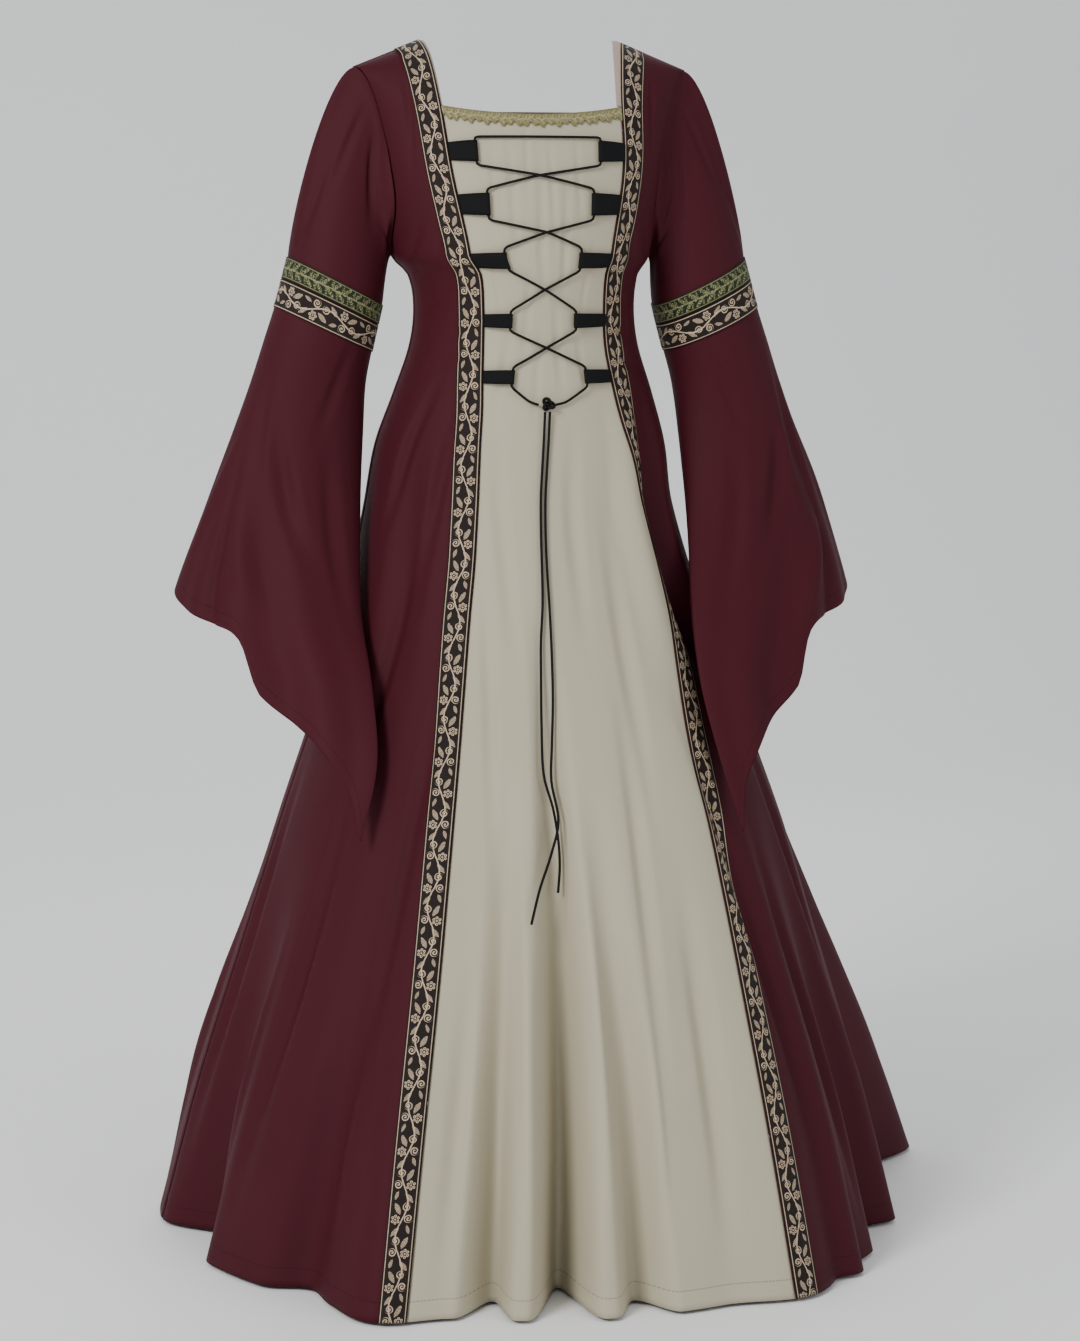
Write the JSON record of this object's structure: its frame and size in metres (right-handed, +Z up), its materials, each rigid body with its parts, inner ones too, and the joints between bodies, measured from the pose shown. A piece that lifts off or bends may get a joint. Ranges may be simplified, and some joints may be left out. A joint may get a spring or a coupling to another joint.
{
  "type": "historical dress",
  "caption": "Long gown with a flared skirt, laced pale centre front, vine ribbons from shoulder to hem and flared, pointed sleeves with arm bands.",
  "frame": {"origin": "midway between the shoulders, level with the underside of the straps at the neck, where the wearer's shoulders carry the dress", "axes": "+Z up, the front faces -Y, the wearer's right arm is toward -X"},
  "size_m": [0.9482, 0.9106, 1.3714],
  "materials": {
    "pale_cloth": "matt stretch cloth, pale beige",
    "wine_cloth": "soft stretch cloth with a low sheen, dark wine",
    "vine_ribbon": "woven jacquard ribbon, near black with a pale running vine",
    "garland_braid": "woven braid, near black with a green-gold leaf garland",
    "neck_braid": "woven leafy braid, olive gold",
    "facing_cloth": "matt cloth, taupe",
    "loop_ribbon": "black grosgrain ribbon",
    "lace_cord": "black braided cord"
  },
  "bodies": {
    "root": {"front_panel": "pale_cloth", "back_panel": "wine_cloth", "side_front_left": "wine_cloth", "side_back_left": "wine_cloth", "ribbon_left": "vine_ribbon", "facing_left": "facing_cloth", "upper_sleeve_left": "wine_cloth", "lower_sleeve_left": "wine_cloth", "garland_band_left": "garland_braid", "vine_band_left": "vine_ribbon", "loop_left_1": "loop_ribbon", "loop_left_2": "loop_ribbon", "loop_left_3": "loop_ribbon", "loop_left_4": "loop_ribbon", "loop_left_5": "loop_ribbon", "side_front_right": "wine_cloth", "side_back_right": "wine_cloth", "ribbon_right": "vine_ribbon", "facing_right": "facing_cloth", "upper_sleeve_right": "wine_cloth", "lower_sleeve_right": "wine_cloth", "garland_band_right": "garland_braid", "vine_band_right": "vine_ribbon", "loop_right_1": "loop_ribbon", "loop_right_2": "loop_ribbon", "loop_right_3": "loop_ribbon", "loop_right_4": "loop_ribbon", "loop_right_5": "loop_ribbon", "neck_braid": "neck_braid", "lace": "lace_cord", "lace_knot": "lace_cord", "lace_tail_a": "lace_cord", "lace_tail_b": "lace_cord"}
  },
  "joints": []
}
